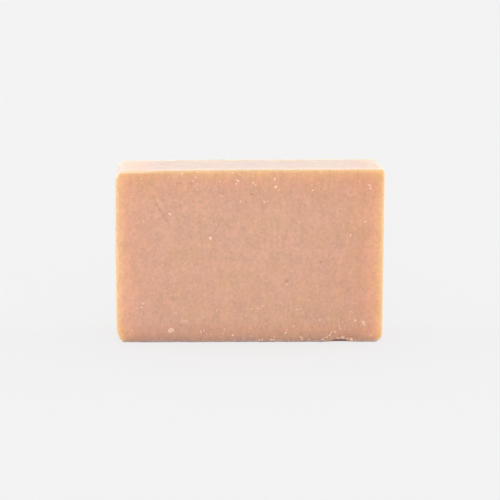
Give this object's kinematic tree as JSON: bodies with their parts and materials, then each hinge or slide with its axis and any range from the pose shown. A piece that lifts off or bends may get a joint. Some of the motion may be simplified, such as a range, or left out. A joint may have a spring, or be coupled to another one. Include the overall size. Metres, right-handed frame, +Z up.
{
  "type": "bar of soap",
  "caption": "Hand-cut rectangular bar of soap with worn corners, two wire-cut broad faces and a small chip in its lower front edge.",
  "frame": {"origin": "on the ground, under the middle of the bar", "axes": "+X along the bar, towards its right end as seen from the front; +Y from the front cut face to the back one; +Z up"},
  "size_m": [0.085, 0.0262, 0.0556],
  "materials": {
    "soap": "waxy, translucent pinkish tan soap with a soft satin cut face"
  },
  "bodies": {
    "root": {"soap_bar": "soap"}
  },
  "joints": []
}
